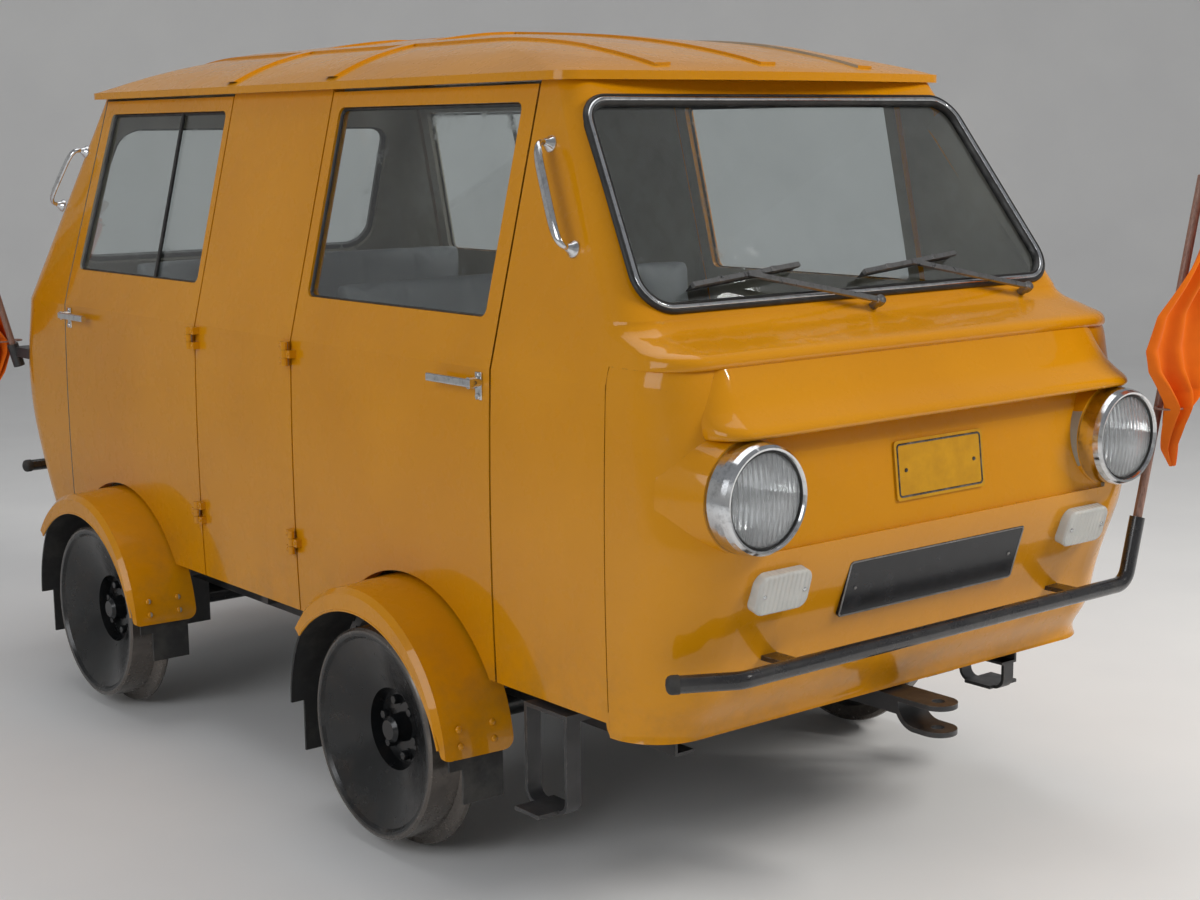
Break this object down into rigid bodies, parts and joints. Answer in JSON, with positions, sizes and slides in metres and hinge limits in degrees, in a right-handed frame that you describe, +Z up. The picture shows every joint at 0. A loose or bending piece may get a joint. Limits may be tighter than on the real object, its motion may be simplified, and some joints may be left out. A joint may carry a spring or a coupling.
{
  "type": "rail draisine",
  "caption": "Small enclosed rail inspection car with a rounded van-like steel body, hinged side doors, mudguards, steps, coupling jaws and flanged wheelsets that roll.",
  "frame": {"origin": "on the ground under the flanges, at mid width and mid length", "axes": "+Z up, +Y towards the tail, so the nose points to -Y, +X towards the vehicle's left side"},
  "size_m": [1.736, 3.2186, 1.8155],
  "materials": {
    "body_orange": "gloss",
    "black_steel": "satin",
    "black_tube": "gloss",
    "floor_paint": "matte",
    "flap_rubber": "matte",
    "seal_rubber": "satin",
    "clear_glass": "gloss",
    "bright_metal": "polished",
    "lamp_glass": "gloss",
    "indicator_lens": "gloss",
    "red_lens": "gloss",
    "plate_paint": "gloss",
    "wiper_metal": "satin",
    "seat_frame_paint": "matte",
    "seat_cover": "satin",
    "engine_iron": "matte",
    "desk_paint": "satin",
    "staff_wood": "satin",
    "flag_cloth": "matte",
    "wheel_steel": "satin"
  },
  "bodies": {
    "carbody": {"axle_boxes": "black_steel", "blank_plates": "plate_paint", "bumper_front": "black_tube", "bumper_rear": "black_tube", "centre_panels": "body_orange", "chassis_frame": "black_steel", "control_desk": "desk_paint", "couplers": "black_steel", "engine_block": "engine_iron", "flag_front": "flag_cloth", "flag_holder": "black_steel", "flag_rear": "flag_cloth", "flag_staffs": "staff_wood", "floor_pan": "floor_paint", "front_frame": "body_orange", "grab_handles": "bright_metal", "headlamp_lenses": "lamp_glass", "headlamp_shells": "bright_metal", "indicator_lamps": "indicator_lens", "mudflaps": "flap_rubber", "mudguards_front": "body_orange", "mudguards_rear": "body_orange", "nose_shell": "body_orange", "rear_shell": "body_orange", "roof_panel": "body_orange", "seat_cushions": "seat_cover", "seat_frames": "seat_frame_paint", "steps": "black_steel", "tail_lamps": "red_lens", "window_glass": "clear_glass", "window_seals": "seal_rubber", "wipers": "wiper_metal"},
    "front_wheelset": {"wheelset_front": "wheel_steel"},
    "rear_wheelset": {"wheelset_rear": "wheel_steel"},
    "front_right_door": {"door_front_right": "body_orange", "door_front_right_glass": "clear_glass", "door_front_right_handle": "bright_metal"},
    "front_left_door": {"door_front_left": "body_orange", "door_front_left_glass": "clear_glass", "door_front_left_handle": "bright_metal"},
    "rear_right_door": {"door_rear_right": "body_orange", "door_rear_right_glass": "clear_glass", "door_rear_right_handle": "bright_metal"},
    "rear_left_door": {"door_rear_left": "body_orange", "door_rear_left_glass": "clear_glass", "door_rear_left_handle": "bright_metal"}
  },
  "joints": [
    {"name": "front_wheelset_roll", "type": "hinge", "parent": "carbody", "child": "front_wheelset", "pos_m": [0, -0.61, 0.267], "axis": [1, 0, 0], "continuous": true},
    {"name": "rear_wheelset_roll", "type": "hinge", "parent": "carbody", "child": "rear_wheelset", "pos_m": [0, 0.83, 0.267], "axis": [1, 0, 0], "continuous": true},
    {"name": "front_right_door_hinge", "type": "hinge", "parent": "carbody", "child": "front_right_door", "pos_m": [-0.697, -0.1335, 0.83], "axis": [0, 0, -1], "range_deg": [0, 75]},
    {"name": "front_left_door_hinge", "type": "hinge", "parent": "carbody", "child": "front_left_door", "pos_m": [0.697, -0.1335, 0.83], "axis": [0, 0, 1], "range_deg": [0, 75]},
    {"name": "rear_right_door_hinge", "type": "hinge", "parent": "carbody", "child": "rear_right_door", "pos_m": [-0.697, 0.3535, 0.83], "axis": [0, 0, 1], "range_deg": [0, 75]},
    {"name": "rear_left_door_hinge", "type": "hinge", "parent": "carbody", "child": "rear_left_door", "pos_m": [0.697, 0.3535, 0.83], "axis": [0, 0, -1], "range_deg": [0, 75]}
  ]
}
